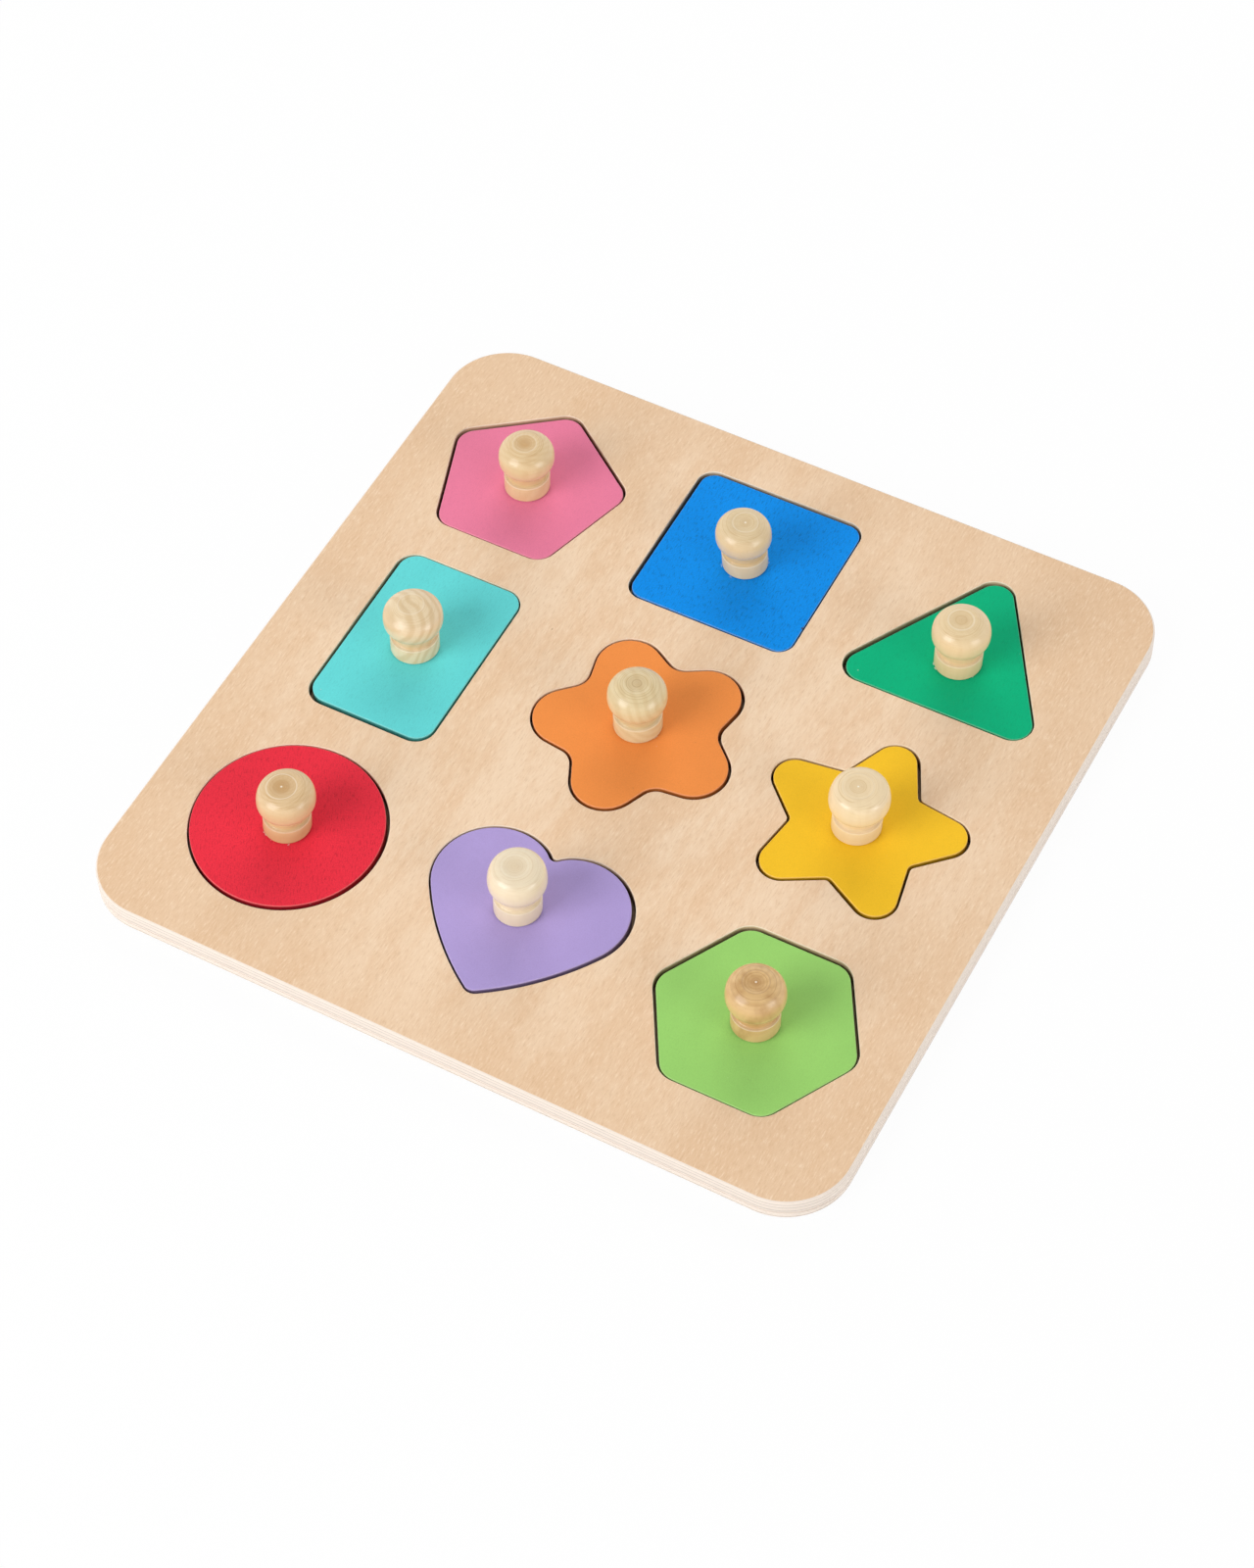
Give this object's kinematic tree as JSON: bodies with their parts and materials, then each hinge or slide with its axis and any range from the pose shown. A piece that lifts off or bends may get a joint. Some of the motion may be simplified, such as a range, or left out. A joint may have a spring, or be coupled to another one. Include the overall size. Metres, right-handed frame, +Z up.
{
  "type": "wooden shape puzzle",
  "caption": "Square wooden puzzle board with recesses that hold loose painted shapes, each lifted out by a turned wooden knob.",
  "frame": {"origin": "centre of the board's underside", "axes": "+Z up; +Y towards the side with the pentagon, square and triangle; +X to the right, towards the triangle, star and hexagon"},
  "size_m": [0.3, 0.3, 0.0355],
  "materials": {
    "frame_ply": "bare sanded birch plywood with a fine straight grain",
    "base_ply": "bare thin plywood",
    "pentagon_paint": "plywood painted pink, satin",
    "pentagon_knob_wood": "turned wood under clear satin varnish",
    "square_paint": "plywood painted blue, satin",
    "square_knob_wood": "turned wood under clear satin varnish",
    "triangle_paint": "plywood painted green, satin",
    "triangle_knob_wood": "turned wood under clear satin varnish",
    "rectangle_paint": "plywood painted turquoise, satin",
    "rectangle_knob_wood": "turned wood under clear satin varnish",
    "flower_paint": "plywood painted orange, satin",
    "flower_knob_wood": "turned wood under clear satin varnish",
    "star_paint": "plywood painted yellow, satin",
    "star_knob_wood": "turned wood under clear satin varnish",
    "circle_paint": "plywood painted red, satin",
    "circle_knob_wood": "turned wood under clear satin varnish",
    "heart_paint": "plywood painted lilac, satin",
    "heart_knob_wood": "turned wood under clear satin varnish",
    "hexagon_paint": "plywood painted light green, satin",
    "hexagon_knob_wood": "turned wood under clear satin varnish",
    "screw_steel": "zinc-plated steel"
  },
  "bodies": {
    "boards": {"frame_board": "frame_ply", "base_board": "base_ply"},
    "pentagon": {"pentagon_piece": "pentagon_paint", "pentagon_knob": "pentagon_knob_wood", "pentagon_screw": "screw_steel"},
    "square": {"square_piece": "square_paint", "square_knob": "square_knob_wood", "square_screw": "screw_steel"},
    "triangle": {"triangle_piece": "triangle_paint", "triangle_knob": "triangle_knob_wood", "triangle_screw": "screw_steel"},
    "rectangle": {"rectangle_piece": "rectangle_paint", "rectangle_knob": "rectangle_knob_wood", "rectangle_screw": "screw_steel"},
    "flower": {"flower_piece": "flower_paint", "flower_knob": "flower_knob_wood", "flower_screw": "screw_steel"},
    "star": {"star_piece": "star_paint", "star_knob": "star_knob_wood", "star_screw": "screw_steel"},
    "circle_lift": {"circle_screw": "screw_steel"},
    "circle": {"circle_piece": "circle_paint", "circle_knob": "circle_knob_wood"},
    "heart": {"heart_piece": "heart_paint", "heart_knob": "heart_knob_wood", "heart_screw": "screw_steel"},
    "hexagon": {"hexagon_piece": "hexagon_paint", "hexagon_knob": "hexagon_knob_wood", "hexagon_screw": "screw_steel"}
  },
  "joints": [
    {"name": "pentagon_slide", "type": "slide", "parent": "boards", "child": "pentagon", "axis": [0, 0, 1], "range_m": [0, 0.05]},
    {"name": "square_slide", "type": "slide", "parent": "boards", "child": "square", "axis": [0, 0, 1], "range_m": [0, 0.05]},
    {"name": "triangle_slide", "type": "slide", "parent": "boards", "child": "triangle", "axis": [0, 0, 1], "range_m": [0, 0.05]},
    {"name": "rectangle_slide", "type": "slide", "parent": "boards", "child": "rectangle", "axis": [0, 0, 1], "range_m": [0, 0.05]},
    {"name": "flower_slide", "type": "slide", "parent": "boards", "child": "flower", "axis": [0, 0, 1], "range_m": [0, 0.05]},
    {"name": "star_slide", "type": "slide", "parent": "boards", "child": "star", "axis": [0, 0, 1], "range_m": [0, 0.05]},
    {"name": "circle_slide", "type": "slide", "parent": "boards", "child": "circle_lift", "axis": [0, 0, 1], "range_m": [0, 0.05]},
    {"name": "circle_turn", "type": "hinge", "parent": "circle_lift", "child": "circle", "pos_m": [-0.09419, -0.09075, 0.0033], "axis": [0, 0, 1], "continuous": true},
    {"name": "heart_slide", "type": "slide", "parent": "boards", "child": "heart", "axis": [0, 0, 1], "range_m": [0, 0.05]},
    {"name": "hexagon_slide", "type": "slide", "parent": "boards", "child": "hexagon", "axis": [0, 0, 1], "range_m": [0, 0.05]}
  ]
}
